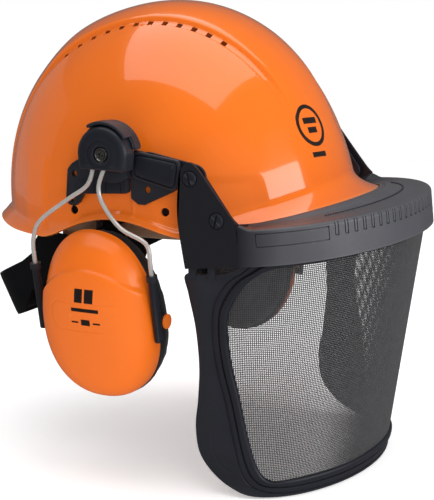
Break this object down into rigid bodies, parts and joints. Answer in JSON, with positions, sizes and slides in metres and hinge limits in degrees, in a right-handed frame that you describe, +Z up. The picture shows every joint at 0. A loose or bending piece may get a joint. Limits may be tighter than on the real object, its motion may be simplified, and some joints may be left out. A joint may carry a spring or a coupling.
{
  "type": "hard hat with visor and ear muffs",
  "caption": "Vented safety helmet with a head suspension, a hinged wire gauze visor under a brow guard, and swing-out ear muffs on sprung steel arms.",
  "frame": {"origin": "centre of the headband, at the level where the set rests on the head", "axes": "+Z up, -Y to the front, -X to the wearer's right; the set is a mirror image of itself across X = 0"},
  "size_m": [0.2736, 0.3161, 0.3183],
  "materials": {
    "shell_gloss": "gloss",
    "muff_satin": "satin",
    "black_plastic": "satin",
    "guard_plastic": "fine grain",
    "webbing": "woven",
    "tan_leather": "soft grain",
    "gauze": "woven wire",
    "steel_wire": "bright drawn",
    "screw_steel": "dull",
    "cushion_skin": "soft skin",
    "foam": "open cell foam"
  },
  "bodies": {
    "helmet": {"shell": "shell_gloss", "headband": "black_plastic", "sweatband": "tan_leather", "crown_strap_low": "webbing", "crown_strap_mid": "webbing", "crown_strap_top": "webbing", "crown_stitch_pad": "black_plastic", "hanger_clips": "black_plastic", "nape_studs": "black_plastic", "visor_clip_right": "black_plastic", "clip_cover_right": "black_plastic", "muff_bracket_right": "black_plastic", "click_disc_right": "black_plastic", "pivot_screw_right": "screw_steel", "visor_clip_left": "black_plastic", "clip_cover_left": "black_plastic", "muff_bracket_left": "black_plastic", "click_disc_left": "black_plastic", "pivot_screw_left": "screw_steel"},
    "nape": {"nape_band": "black_plastic", "nape_pad": "tan_leather"},
    "visor": {"brow_guard": "guard_plastic", "guard_screws": "black_plastic", "visor_frame": "black_plastic", "visor_mesh": "gauze", "frame_lugs": "black_plastic", "visor_arm_right": "black_plastic", "visor_arm_left": "black_plastic"},
    "housing_right": {"pivot_housing_right": "black_plastic"},
    "arm_right": {"wire_front_right": "steel_wire", "wire_rear_right": "steel_wire", "wire_bar_right": "steel_wire"},
    "yoke_right": {"sleeve_front_right": "black_plastic", "sleeve_rear_right": "black_plastic"},
    "cup_right": {"cup_shell_right": "muff_satin", "cup_plate_right": "black_plastic", "cup_pins_right": "muff_satin", "cup_cushion_right": "cushion_skin", "cup_foam_right": "foam"},
    "housing_left": {"pivot_housing_left": "black_plastic"},
    "arm_left": {"wire_front_left": "steel_wire", "wire_rear_left": "steel_wire", "wire_bar_left": "steel_wire"},
    "yoke_left": {"sleeve_front_left": "black_plastic", "sleeve_rear_left": "black_plastic"},
    "cup_left": {"cup_shell_left": "muff_satin", "cup_plate_left": "black_plastic", "cup_pins_left": "muff_satin", "cup_cushion_left": "cushion_skin", "cup_foam_left": "foam"}
  },
  "joints": [
    {"name": "visor_hinge", "type": "hinge", "parent": "helmet", "child": "visor", "pos_m": [0, -0.006, 0.044], "axis": [-1, 0, 0], "range_deg": [0, 95]},
    {"name": "nape_slide", "type": "slide", "parent": "helmet", "child": "nape", "axis": [0, 0.891, -0.454], "range_m": [-0.016, 0.008]},
    {"name": "muff_swivel_right", "type": "hinge", "parent": "helmet", "child": "housing_right", "pos_m": [-0.1195, 0.0196, 0.0514], "axis": [1, 0, 0], "range_deg": [-6, 5]},
    {"name": "muff_swing_right", "type": "hinge", "parent": "housing_right", "child": "arm_right", "pos_m": [-0.1195, 0.0235, 0.045], "axis": [0, 1, 0], "range_deg": [-4, 25]},
    {"name": "muff_height_right", "type": "slide", "parent": "arm_right", "child": "yoke_right", "axis": [0.1839, 0, -0.9829], "range_m": [0, 0.02]},
    {"name": "cup_tilt_right", "type": "hinge", "parent": "yoke_right", "child": "cup_right", "pos_m": [-0.1033, 0.0319, -0.0598], "axis": [0, 1, 0], "range_deg": [-8, 8]},
    {"name": "muff_swivel_left", "type": "hinge", "parent": "helmet", "child": "housing_left", "pos_m": [0.1195, 0.0196, 0.0514], "axis": [1, 0, 0], "range_deg": [-6, 5]},
    {"name": "muff_swing_left", "type": "hinge", "parent": "housing_left", "child": "arm_left", "pos_m": [0.1195, 0.0235, 0.045], "axis": [0, -1, 0], "range_deg": [-4, 25]},
    {"name": "muff_height_left", "type": "slide", "parent": "arm_left", "child": "yoke_left", "axis": [-0.1839, 0, -0.9829], "range_m": [0, 0.02]},
    {"name": "cup_tilt_left", "type": "hinge", "parent": "yoke_left", "child": "cup_left", "pos_m": [0.1033, 0.0319, -0.0598], "axis": [0, 1, 0], "range_deg": [-8, 8]}
  ]
}
